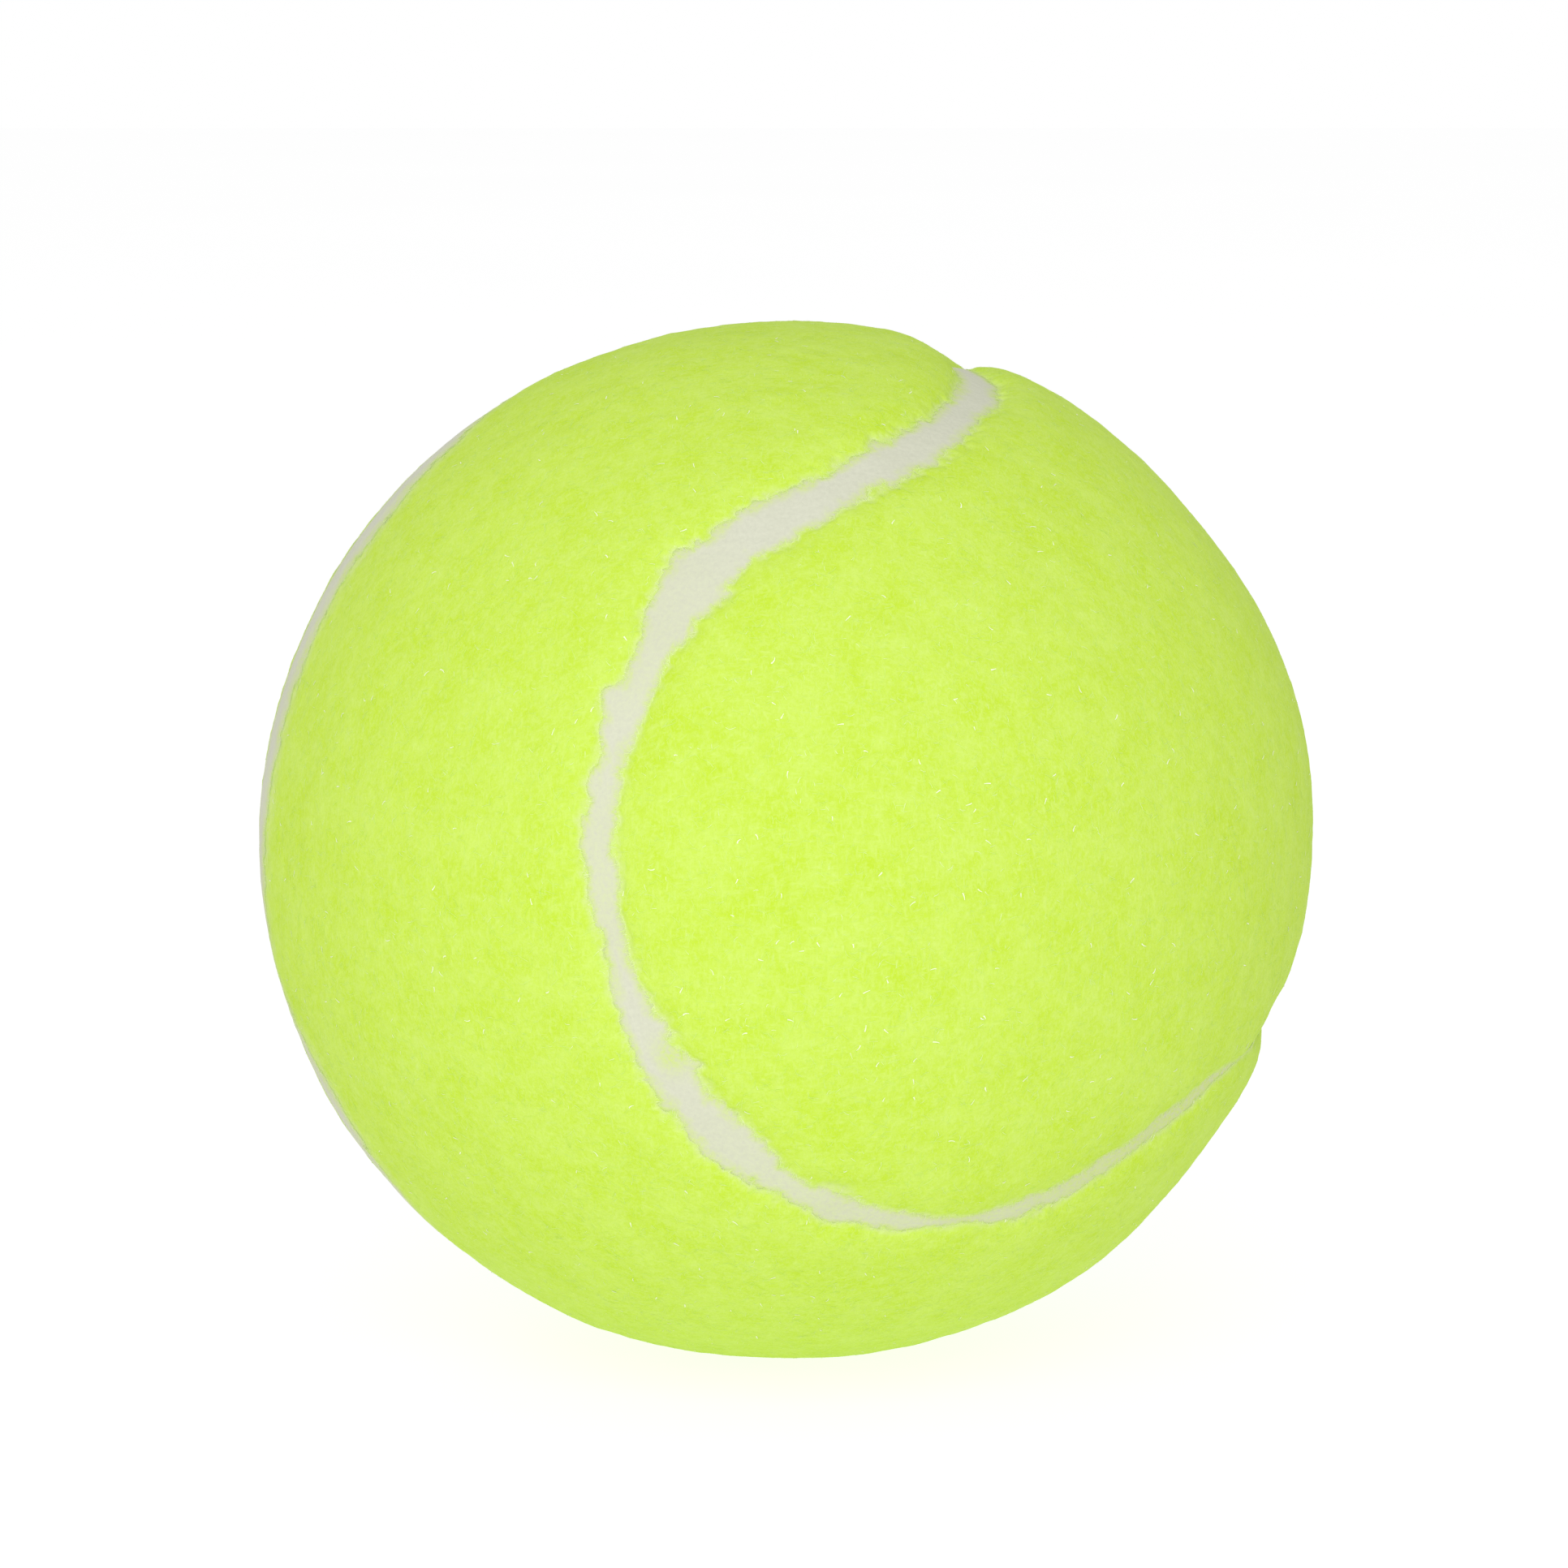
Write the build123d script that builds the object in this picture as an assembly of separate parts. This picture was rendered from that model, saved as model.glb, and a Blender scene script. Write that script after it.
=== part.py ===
from build123d import *
import os
from math import atan2, cos, degrees, pi, sin, sqrt

# A tennis ball: a hollow rubber core of two cemented halves, covered by two felt panels.
# Sizes are in millimetres. The origin is the middle of the ball and +Z is up.

# Over the felt, as such balls measure.
ball_diameter = 66.0

# The layers, from the felt inwards.
felt_thickness = 2.6
backing_thickness = 0.4
coat_thickness = 0.2
core_wall = 3.4

# The cement disc between the rims of the two core halves.
joint_thickness = 0.3

# The seam between the felt panels: its width at the top and at the foot of its cement, how
# far the cement lies below the felt, and how far back a felt edge starts to round down to it.
seam_width = 2.0
seam_foot_width = 1.2
seam_depth = 0.8
roll_width = 3.5
# How steeply the felt rounds down: 1 is a straight slope, more is a rounder edge.
roll_power = 2.2

# How far cutting tools reach past the faces they cut.
cut_margin = 1.0
# The felt's rounding ends this little above the round of the ball, so that the two cross.
roll_lift = 0.05

# The front is seen from this many degrees above the level of the ball's middle.
front_rise = 8.0

# The seam, one closed line. Each place is given as seen from the front: its clock angle
# from the right, counter-clockwise, as a share of a turn, and its tilt away from the
# viewer as a share of a half turn. Between places the line runs in arcs that join smoothly.
seam_place_shares = [
    # the open bow on the front, from the top right round to the lower right
    (0.190, 0.422),
    (0.191, 0.328),
    (0.222, 0.233),
    (0.292, 0.172),
    (0.372, 0.126),
    (0.486, 0.109),
    (0.583, 0.117),
    (0.667, 0.150),
    (0.728, 0.192),
    (0.783, 0.247),
    (0.831, 0.293),
    (0.878, 0.328),
    (0.908, 0.367),
    (0.925, 0.397),
    (0.940, 0.461),
    # behind, round the lower lobe of the left panel
    (0.957, 0.556),
    (0.961, 0.656),
    (0.925, 0.772),
    (0.811, 0.856),
    (0.700, 0.839),
    (0.656, 0.756),
    (0.650, 0.656),
    (0.650, 0.561),
    # up the left edge of the view
    (0.633, 0.478),
    (0.597, 0.439),
    (0.542, 0.439),
    (0.478, 0.431),
    (0.417, 0.428),
    (0.367, 0.439),
    (0.339, 0.489),
    # behind, round the upper lobe of the left panel
    (0.331, 0.561),
    (0.336, 0.644),
    (0.336, 0.739),
    (0.292, 0.844),
    (0.169, 0.878),
    (0.097, 0.797),
    (0.092, 0.711),
    (0.103, 0.636),
    (0.139, 0.578),
    (0.175, 0.525),
]

# Places across a felt edge's rounding: over the cement, as a share of the seam's half width,
# and between the edge and the end of the rounding, as a share of the roll width.
roll_inner_share = 0.4
roll_middle_share = 0.4

ball_radius = ball_diameter / 2
backing_radius = ball_radius - felt_thickness
coat_radius = backing_radius - backing_thickness
core_radius = coat_radius - coat_thickness
hollow_radius = core_radius - core_wall
seam_radius = ball_radius - seam_depth

os.makedirs("parts", exist_ok=True)


def shell(outer, inner):
    """A round layer between two radii."""
    return Sphere(outer) - Sphere(inner)


def arc_from(way, head, end):
    """An arc on the ball from one direction to another, round an axis through the middle."""
    axis = head.cross(end - way).normalized()
    if axis.cross(way).dot(head) < 0:
        axis = -axis
    near = way - axis * way.dot(axis)
    far = end - axis * end.dot(axis)
    angle = degrees(atan2(axis.dot(near.cross(far)), near.dot(far)))
    return way, way.cross(head), axis, angle


def seam_arcs():
    """The seam as arcs: where each starts, the way across it there, its axis and angle."""
    rise = front_rise * pi / 180
    front = Plane(origin=(0, 0, 0), x_dir=(1, 0, 0), z_dir=(0, -cos(rise), sin(rise)))
    ways = []
    for clock_share, tilt_share in seam_place_shares:
        clock = 2 * pi * clock_share
        tilt = pi * tilt_share
        way = Vector(sin(tilt) * cos(clock), sin(tilt) * sin(clock), cos(tilt))
        ways.append(front.from_local_coords(way))
    line = Spline(*ways, periodic=True)
    heads = []
    for way in ways:
        head = line.tangent_at(way)
        heads.append((head - way * head.dot(way)).normalized())
    arcs = []
    for i, way in enumerate(ways):
        head = heads[i - 1]
        start = ways[i - 1]
        step = way - start
        along = step.dot(head + heads[i])
        bend = 2 * (1 - head.dot(heads[i]))
        reach = (sqrt(along**2 + bend * step.dot(step)) - along) / bend
        middle = ((start + way + (head - heads[i]) * reach) / 2).normalized()
        first = arc_from(start, head, middle)
        arcs.append(first)
        arcs.append(arc_from(middle, first[2].cross(middle).normalized(), way))
    return arcs


def felt_height(beyond):
    """Radius of the rounded felt at a distance beyond its edge at the seam."""
    fall = max(0, 1 - beyond / roll_width) ** roll_power
    return ball_radius + roll_lift - (seam_depth + roll_lift) * fall


def seam_ring(profile):
    """A closed ring along the seam, of a profile made for a way and the way across it."""
    faces = []
    for way, across, axis, angle in arcs:

        def spot(away, radius):
            turn = away / ball_radius
            return (way * cos(turn) + across * sin(turn)) * radius

        round_axis = Axis((0, 0, 0), axis)
        faces += [Face.revolve(edge, angle, round_axis) for edge in profile(spot)]
    return Solid(Shell(faces))


def slot_profile(spot):
    """The channel of the seam cement, through every layer outside the core's coat."""
    flare = (seam_width - seam_foot_width) / 2 / (seam_radius - coat_radius)
    low = coat_radius - cut_margin
    high = ball_radius + cut_margin
    foot = seam_width / 2 - flare * (seam_radius - low)
    top = seam_width / 2 + flare * (high - seam_radius)
    return Polyline(
        spot(-foot, low),
        spot(-top, high),
        spot(top, high),
        spot(foot, low),
        close=True,
    ).edges()


def valley_profile(spot):
    """What the rounding of both felt edges takes off the ball."""
    half = seam_width / 2
    inner = half * roll_inner_share
    middle = half + roll_width * roll_middle_share
    rim = half + roll_width
    edges = []
    for side in (-1, 1):
        line = [spot(side * away, felt_height(away - half)) for away in (inner, middle, rim)]
        edges.append(ThreePointArc(*line).edge())
        edges.append(Line(line[-1], spot(0, ball_radius + cut_margin)).edge())
    edges.append(Line(edges[0] @ 0, edges[2] @ 0).edge())
    return edges


def write(shape, node):
    """One node file."""
    export_step(shape, f"parts/{node}.step")


arcs = seam_arcs()
slot = seam_ring(slot_profile)
valley = seam_ring(valley_profile)

# The core: two half shells with a flat rim each, and the cement disc between the rims.
core = shell(core_radius, hollow_radius)
box_side = ball_diameter + cut_margin
joint_half = joint_thickness / 2
joint_box = Box(box_side, box_side, joint_thickness)
half_box = Box(box_side, box_side, box_side, align=(Align.CENTER, Align.CENTER, Align.MIN))
write(core & Pos(0, 0, joint_half) * half_box, "core_half_upper")
write(core & Pos(0, 0, -joint_half) * Rot(180, 0, 0) * half_box, "core_half_lower")
write(core & joint_box, "core_joint_cement")

# The cement coat round the core.
write(shell(coat_radius, core_radius), "core_coat")

# The felt panels and the rubber backing under each, parted by the seam.
backings = (shell(backing_radius, coat_radius) - slot).solids().sort_by(Axis.X)
felts = (shell(ball_radius, backing_radius) - slot - valley).solids().sort_by(Axis.X)
for name, backing, felt in zip(("left", "right"), backings, felts):
    write(backing, f"panel_backing_{name}")
    write(felt, f"felt_panel_{name}")

# The seam cement, between the edges of the panels.
write(shell(seam_radius, coat_radius) & slot, "seam_cement")
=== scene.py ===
"""The looks of a tennis ball: two felt panels, the seam cement between them and loose fibres."""
import math

import bpy
import numpy as np
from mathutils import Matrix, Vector


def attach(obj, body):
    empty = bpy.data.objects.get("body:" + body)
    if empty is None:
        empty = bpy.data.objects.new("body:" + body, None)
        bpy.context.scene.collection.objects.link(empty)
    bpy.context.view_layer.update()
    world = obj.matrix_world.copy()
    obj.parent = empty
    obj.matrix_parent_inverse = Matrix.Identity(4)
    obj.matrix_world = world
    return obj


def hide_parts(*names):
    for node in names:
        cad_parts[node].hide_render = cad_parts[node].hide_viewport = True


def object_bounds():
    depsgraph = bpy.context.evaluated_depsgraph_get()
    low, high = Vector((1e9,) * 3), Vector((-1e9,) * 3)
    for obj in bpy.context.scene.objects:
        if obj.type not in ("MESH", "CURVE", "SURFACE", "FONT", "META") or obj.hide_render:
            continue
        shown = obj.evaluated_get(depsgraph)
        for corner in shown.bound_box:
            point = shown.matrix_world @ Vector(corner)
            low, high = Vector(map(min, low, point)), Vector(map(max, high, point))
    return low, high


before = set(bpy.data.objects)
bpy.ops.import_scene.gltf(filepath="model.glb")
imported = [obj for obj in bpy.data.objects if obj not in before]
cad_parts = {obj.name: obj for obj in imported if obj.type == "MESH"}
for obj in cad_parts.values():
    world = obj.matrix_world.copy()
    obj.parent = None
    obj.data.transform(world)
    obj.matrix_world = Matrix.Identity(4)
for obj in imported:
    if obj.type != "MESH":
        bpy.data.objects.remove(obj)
packed_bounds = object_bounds()

MM = 0.001
low, high = packed_bounds
BALL_R = round((high.z - low.z) / 2 / MM, 2)  # millimetres, as all lengths up to make_mesh
FELT_THICKNESS = 2.6
BACKING_R = BALL_R - FELT_THICKNESS
FRONT_RISE = 8.0  # degrees that the camera stands above the level of the ball's middle

# The felt's edges.
ROLL_POWER = 2.4  # how steeply the felt rounds down to the seam
ROLL_TORN = 0.3  # how much of the edge's tearing the rounding behind it follows
EDGE_ROUND = 0.5  # the torn edge itself rounds down to the cement over this width
TUFT_FADE = 0.5  # the felt's tufts fade out this near to the edge, down to a share
TUFT_LEAST = 0.2

# The cement.
LIP = 0.02  # the felt's edge stands this far above the cement
TUCK = 0.8  # the cement reaches this far under the felt
TUCK_DIP = 0.15  # and lies this much lower there, from a little inside the edge
TUCK_START = 0.1
TUCK_RAMP = 0.25
RIPPLE_FADE = 0.5  # the cement's ripples fade out this near to the felt
LEAST_GAP = 0.2  # taken as the cement's width where the felt edges meet
CEMENT_FOOT = 0.3  # the cement's foot lies this far below the felt's back
STAIN_POWER = 1.2  # how fast the felt's colour fades out in the cement
VEIL_AT = 63.3  # where along the seam a thin veil of felt lies over the cement
VEIL_REACH = 1.15
VEIL_STAIN = 0.95

# How fine the meshes are: places along the seam, sides along each of the felt grid's 20
# triangles, how near to an edge its triangles are halved and halved again, and rows and
# columns of the cement.
SEAM_SAMPLES = 3000
FELT_GRID = 88
FINE_BANDS = (1.1, 0.6)
CEMENT_ROWS = 1500
CEMENT_COLUMNS = 33
EDGE_BLUR = 5  # seam samples on either side over which the rows of SEAM_EDGES blend

# Unevenness: rows of height, size of the lumps and seed.
COVER_LUMPS = ((0.07, 9.0, 11), (0.03, 3.5, 12))
FELT_TUFTS = ((0.035, 0.9, 31), (0.02, 0.4, 32))
CEMENT_RIPPLES = ((0.02, 2.2, 81), (0.012, 0.7, 82))

# The tearing of each panel's edge: a slow wave and the tears on it. It is calmer where the
# edge lies deep and where the seam is narrow.
EDGE_WAVES = {-1: ((0.15, 3.1, 40),), 1: ((0.15, 3.1, 80),)}
EDGE_TEARS = {
    -1: ((0.30, 1.3, 41), (0.32, 0.6, 42), (0.16, 0.3, 43)),
    1: ((0.30, 1.3, 81), (0.32, 0.6, 82), (0.16, 0.3, 83)),
}
CALM_FLAT = 1.6
CALM_PER_DEPTH = 1.2
CALM_LEAST = 0.3
WIDE_GAP = 2.2
GAP_TEARING = (0.1, 1.1)

# Loose fibres on each panel: number, least and most length, width and paleness.
FIBRES = (
    (12000, (0.3, 0.8), (0.022, 0.034), (0.0, 0.30)),
    # the next two rows are near-white fibres whose colour is partly painted highlight, standing
    # in for the felt's glints
    (1600, (0.2, 0.45), (0.03, 0.045), (0.35, 0.65)),
    (460, (0.22, 0.45), (0.06, 0.095), (0.8, 1.0)),
)
FIBRE_SEED = 20
FIBRE_LIFT = 0.025
# Fibres along the felt edges: the panels they are on, where along the seam they start and
# end, their number on each panel, least and most length, share inside the felt, and lift.
EDGE_FIBRES = (
    ((-1, 1), 0, 400, 4500, (0.3, 0.8), 0.5, 0.012),
    # up the left edge of the view
    ((-1,), 222, 276, 1400, (0.3, 0.8), 0.5, 0.02),
)
EDGE_FIBRE_WIDTH = (0.018, 0.03)
EDGE_FIBRE_PALE = (0.2, 0.7)
EDGE_FIBRE_STRAY = 0.7  # how far they stray from straight across the seam
EDGE_FIBRE_GAP = 1.5  # they are shorter where the seam is narrower than this
EDGE_FIBRE_SHORTEST = 0.5
# Each fibre's form: places along it, clearance from the felt, and as shares its curl to
# either side, the rise of its tip and how much narrower its tip is.
FIBRE_PLACES = (0.0, 0.33, 0.67, 1.0)
FIBRE_CLEAR = 0.012
FIBRE_CURL = 0.15
FIBRE_TIP = (-0.3, 0.7)
FIBRE_TAPER = 0.55

# The floor, which glows more to the eye than onto the ball, and the light, in metres and watts.
FLOOR_SIDE = 6.0
FLOOR_GLOW = 0.68
FLOOR_GLOW_SEEN = 0.80
WORLD_LIGHT = 0.54
KEY_PLACE = (-0.09, -1.03, 0.60)
KEY_SIDE = 0.8
KEY_POWER = 7.35

# The camera: the ball's middle lands a little below the middle of the picture.
CAMERA_RADII = 12.0
PICTURE = 1932
BALL_PIXELS = 644
BELOW_PIXELS = 70

# The seam as seen by the camera: clock angle from the right and tilt away from the
# viewer, in degrees.
SEAM_PLACES = [
    # the open bow on the front, from the top right round to the lower right
    (68.3, 76), (68.7, 59), (80, 42), (105, 31), (134, 22.7), (175, 19.6), (210, 21), (240, 27),
    (262, 34.6), (282, 44.5), (299, 52.7), (316, 59), (327, 66), (333, 71.5), (338.3, 83),
    # behind, round the lower lobe of the left panel
    (344.5, 100), (346, 118), (333, 139), (292, 154), (252, 151), (236, 136), (234, 118),
    (234, 101),
    # up the left edge of the view
    (228, 86), (215, 79), (195, 79), (172, 77.5), (150, 77), (132, 79), (122, 88),
    # behind, round the upper lobe of the left panel
    (119, 101), (121, 116), (121, 133), (105, 152), (61, 158), (35, 143.5), (33, 128),
    (37, 114.5), (50, 104), (63, 94.5),
]

# The two felt edges along the seam. Each row gives the way along the seam from its first
# place, then for the left and the right panel how far the edge lies from the seam's
# middle, how deep it lies and how far back it starts to round down, in millimetres.
SEAM_EDGES = [
    # down the front from the top right
    (0, 0.7, 1.10, 4.2, 1.9, 0.90, 3.0),
    (4, 0.3, 0.95, 4.0, 2.3, 0.82, 3.0),
    (6, 0.5, 0.85, 3.8, 2.1, 0.78, 3.0),
    (9, 0.8, 0.75, 3.4, 1.6, 0.70, 3.0),
    (14, 1.3, 0.60, 3.2, 1.8, 0.58, 3.2),
    (20, 1.4, 0.50, 3.2, 1.6, 0.50, 3.2),
    (26, 1.6, 0.43, 3.2, 2.0, 0.43, 3.2),
    (30, 1.8, 0.43, 3.2, 1.6, 0.43, 3.2),
    (32, 2.3, 0.43, 3.2, 1.9, 0.43, 3.2),
    (35, 1.8, 0.43, 3.2, 1.8, 0.43, 3.2),
    (37, 1.1, 0.43, 3.2, 1.4, 0.43, 3.2),
    (40, 0.8, 0.43, 3.2, 1.1, 0.43, 3.2),
    (41, 2.0, 0.43, 3.2, 1.2, 0.43, 3.2),
    (42, 1.2, 0.43, 3.2, 1.1, 0.43, 3.2),
    (44, 0.7, 0.43, 3.2, 0.9, 0.43, 3.2),
    (48, 0.9, 0.43, 3.2, 1.4, 0.43, 3.2),
    (51, 0.8, 0.43, 3.2, 1.1, 0.43, 3.2),
    (53, 0.9, 0.43, 3.2, 0.9, 0.43, 3.2),
    (56, 0.5, 0.43, 3.2, 1.0, 0.43, 3.2),
    (60, 0.9, 0.43, 3.2, 1.0, 0.43, 3.2),
    (64, 1.6, 0.43, 3.2, 1.9, 0.43, 3.2),
    (67, 1.4, 0.43, 3.2, 1.3, 0.43, 3.2),
    (70, 1.8, 0.43, 3.2, 1.7, 0.43, 3.2),
    (72, 1.3, 0.43, 3.2, 1.4, 0.43, 3.2),
    (75, 0.9, 0.43, 3.2, 0.9, 0.43, 3.2),
    (77, 0.9, 0.43, 3.2, 1.0, 0.43, 3.2),
    (78, 1.6, 0.43, 3.2, 1.3, 0.43, 3.2),
    (80, 0.6, 0.43, 3.2, 1.2, 0.43, 3.2),
    (83, 0.8, 0.43, 3.2, 0.9, 0.43, 3.2),
    (84, 0.2, 0.40, 3.0, 0.8, 0.40, 3.0),
    (87, -0.2, 0.40, 3.0, 0.6, 0.40, 3.0),
    (90, 0.8, 0.40, 3.0, 0.9, 0.40, 3.0),
    (95, 0.8, 0.40, 3.0, 0.8, 0.40, 3.0),
    (99, 0.4, 0.40, 2.8, 1.1, 0.40, 3.0),
    (101, 0.0, 0.45, 2.6, 1.3, 0.45, 3.0),
    (103, 0.1, 0.45, 2.6, 1.4, 0.45, 3.0),
    (106, -0.5, 0.35, 2.4, 1.4, 0.35, 2.8),
    (107.5, -0.6, 0.25, 2.2, 1.1, 0.25, 2.8),
    (109.5, -0.7, 0.20, 2.2, 0.4, 0.20, 2.8),
    (112, -0.5, 0.22, 2.0, 0.3, 0.30, 2.8),
    (115, -0.1, 0.50, 2.0, 0.1, 0.85, 2.8),
    (117, 0.3, 0.85, 2.4, 0.1, 1.15, 2.8),
    # behind, round the lower lobe
    (126, 1.3, 1.05, 3.6, 1.0, 0.90, 2.8),
    (165, 1.2, 0.75, 3.2, 1.0, 0.75, 3.2),
    (190, 0.9, 0.75, 3.2, 1.1, 0.75, 3.2),
    (206, 1.1, 0.50, 3.2, 1.0, 0.60, 4.0),
    # up the left edge
    (215, 1.6, 0.05, 3.2, 1.6, 0.15, 4.0),
    (222, 2.0, 0.00, 3.2, 1.9, 0.05, 4.0),
    (228, 1.8, 0.00, 3.2, 1.9, 0.05, 4.0),
    (235, 0.6, 0.00, 3.2, 1.6, 0.05, 4.0),
    (241, 1.4, 0.00, 3.2, 2.0, 0.05, 4.0),
    (246, 2.3, 0.00, 3.2, 2.3, 0.05, 4.0),
    (254, 2.4, 0.00, 3.2, 2.4, 0.05, 4.0),
    (262, 2.3, 0.00, 3.2, 2.4, 0.05, 4.0),
    (268, 2.2, 0.00, 3.2, 2.3, 0.05, 4.0),
    (274, 2.5, 0.05, 3.2, 1.9, 0.10, 4.0),
    (281, 1.8, 0.30, 3.2, 1.3, 0.30, 4.0),
    # behind, round the upper lobe
    (292, 1.0, 0.75, 3.2, 1.0, 0.75, 3.2),
    (316, 1.1, 0.75, 3.2, 0.9, 0.75, 3.2),
    (345, 1.0, 0.75, 3.2, 1.2, 0.75, 3.2),
    (357, 1.1, 0.80, 3.2, 1.0, 0.80, 3.0),
    (366, 2.0, 1.05, 3.8, 0.2, 0.90, 2.8),
    (379, 2.5, 1.28, 4.2, -1.2, 1.00, 3.7),
]

# The felt's colour in the cement: the way along the seam and the share of it.
STAINS = [
    (0, 0.0), (28, 0.0), (32, 0.1), (40, 0.2), (44, 0.0), (48, 0.2), (53, 0.3), (58, 0.0),
    (66, 0.0), (72, 0.15), (76, 0.3), (83, 0.35), (86, 0.6), (90, 0.5), (95, 0.8), (101, 0.95),
    (110, 1.0), (120, 0.0),
]
# The way along the seam, how far the felt's colour runs into the cement there, and how far
# cement has soaked into the felt.
SOAKS = [
    (0, 0.8, 0.5), (206, 0.8, 0.5),
    # up the left edge of the view
    (220, 2.0, 1.6), (276, 2.0, 1.6), (290, 0.8, 0.5),
]

# Swellings and hollows of the cover as seen by the camera: clock angle, tilt and reach
# in degrees, height in millimetres.
SWELLINGS = [
    # round the outline, from the right
    (14, 84, 14, 0.58),
    (38, 84, 8, -0.14),
    (54, 84, 6, 0.10),
    (100, 85, 14, -0.22),
    (268, 85, 14, -0.34),
    (304, 84, 9, 0.12),
    (322, 82, 6, -0.25),
    (332.5, 84, 3.5, 0.13),
    (340.5, 82, 5, -0.44),
    (351, 84, 7, 0.11),
    # the cement and the felt beside it, up the left edge
    (120, 80, 6, 0.16),
    (134, 80, 6, 0.20),
    (148, 80, 6, 0.26),
    (162, 80, 6, 0.28),
    (176, 79, 6, 0.34),
    (185, 79, 5, 0.22),
    (194, 75, 6, 0.30),
    (210, 80, 6, 0.28),
    (222, 80, 6, 0.14),
    (236, 85, 7, -0.16),
    # the felt behind that cement
    (118, 91, 6, -0.30),
    (132, 91, 6, -0.30),
    (146, 90, 6, -0.36),
    (160, 90, 6, -0.34),
    (174, 91, 6, -0.30),
    (188, 91, 6, -0.30),
    (202, 91, 6, -0.30),
    (216, 91, 6, -0.30),
]


def view_to_ball(right, up, near):
    """Turns the camera's right, up and towards axes into the ball's frame."""
    rise = math.radians(FRONT_RISE)
    c, s = math.cos(rise), math.sin(rise)
    return np.stack([right, up * s - near * c, up * c + near * s], axis=-1)


def view_direction(clock, tilt):
    """Unit direction of a place given by its clock angle and tilt in degrees."""
    c, t = np.radians(clock), np.radians(tilt)
    return view_to_ball(np.sin(t) * np.cos(c), np.sin(t) * np.sin(c), np.cos(t))


def unit(v):
    return v / np.linalg.norm(v, axis=-1, keepdims=True)


def closed_spline(rows, at):
    """Places, slopes and length of the smooth closed curve through rows, at shares of it."""
    n = len(rows)
    step = np.linalg.norm(np.roll(rows, -1, 0) - rows, axis=1)
    before = np.roll(step, 1)
    m = np.zeros((n, n))
    rhs = np.zeros_like(rows)
    rise = (np.roll(rows, -1, 0) - rows) / step[:, None]
    for i in range(n):
        m[i, i - 1] += step[i]
        m[i, i] += 2 * (step[i] + before[i])
        m[i, (i + 1) % n] += before[i]
        rhs[i] = 3 * (before[i] * rise[i] + step[i] * rise[i - 1])
    slope = np.linalg.solve(m, rhs)
    knots = np.concatenate([[0], np.cumsum(step)])
    u = at * knots[-1]
    k = np.clip(np.searchsorted(knots, u, side="right") - 1, 0, n - 1)
    h = step[k][:, None]
    t = ((u - knots[k]) / step[k])[:, None]
    a, b = rows[k], rows[(k + 1) % n]
    sa, sb = slope[k] * h, slope[(k + 1) % n] * h
    value = (
        a * (2 * t**3 - 3 * t**2 + 1)
        + sa * (t**3 - 2 * t**2 + t)
        + b * (3 * t**2 - 2 * t**3)
        + sb * (t**3 - t**2)
    )
    grow = (
        a * (6 * t**2 - 6 * t)
        + sa * (3 * t**2 - 4 * t + 1)
        + b * (6 * t - 6 * t**2)
        + sb * (3 * t**2 - 2 * t)
    ) / h
    return value, grow, knots[-1]


def lattice(i, j, k, seed):
    """A steady pseudo-random number from -1 to 1 for each lattice point."""
    n = i * 374761393 + j * 668265263 + k * 1274126177 + seed * 974634777
    n = (n ^ (n >> 13)) * 1274126177 & 0xFFFFFFFF
    n = (n ^ (n >> 16)) * 2246822519 & 0xFFFFFFFF
    n = n ^ (n >> 15)
    return (n & 0xFFFFFF) / float(0x7FFFFF) - 1.0


def noise(points, size, seed):
    """Smooth noise from -1 to 1 whose lumps are about size across."""
    q = points / size + 200.0
    cell = np.floor(q).astype(np.int64)
    f = q - cell
    f = f * f * f * (f * (f * 6 - 15) + 10)
    total = 0
    for dx in (0, 1):
        for dy in (0, 1):
            for dz in (0, 1):
                w = (
                    (f[:, 0] if dx else 1 - f[:, 0])
                    * (f[:, 1] if dy else 1 - f[:, 1])
                    * (f[:, 2] if dz else 1 - f[:, 2])
                )
                total = total + w * lattice(
                    cell[:, 0] + dx, cell[:, 1] + dy, cell[:, 2] + dz, seed
                )
    return total


def lumps(ways, kinds):
    """Summed noise in millimetres over the ball, from rows of height, lump size and seed."""
    return sum(height * noise(ways * BALL_R, size, seed) for height, size, seed in kinds)


places = np.array(SEAM_PLACES)
seam_way, seam_along, seam_length = closed_spline(
    view_direction(places[:, 0], places[:, 1]), np.arange(SEAM_SAMPLES) / SEAM_SAMPLES
)
seam_way = unit(seam_way)
seam_along = unit(seam_along - seam_way * (seam_along * seam_way).sum(1, keepdims=True))
seam_across = np.cross(seam_way, seam_along)

edges = np.array(SEAM_EDGES)
seam_at = np.arange(SEAM_SAMPLES) / SEAM_SAMPLES * seam_length * BALL_R


def along_seam(ways, values):
    """Values given at some ways along the closed seam, blended and for every seam sample."""
    line = np.interp(seam_at, ways, values, period=seam_length * BALL_R)
    line = np.concatenate([line[-EDGE_BLUR:], line, line[:EDGE_BLUR]])
    weight = np.hanning(2 * EDGE_BLUR + 1)
    return np.convolve(line, weight / weight.sum(), "valid")


edge_columns = [along_seam(edges[:, 0], column) for column in edges.T[1:]]
edge_reach = {-1: edge_columns[0], 1: edge_columns[3]}
edge_depth = {-1: edge_columns[1], 1: edge_columns[4]}
edge_roll = {-1: edge_columns[2], 1: edge_columns[5]}

stain_share = np.interp(seam_at, *np.array(STAINS).T)
soaks = np.array(SOAKS).T
stain_reach = np.interp(seam_at, soaks[0], soaks[1])
soak_reach = np.interp(seam_at, soaks[0], soaks[2])

swell_way = view_direction(
    np.array([s[0] for s in SWELLINGS]), np.array([s[1] for s in SWELLINGS])
)


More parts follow.
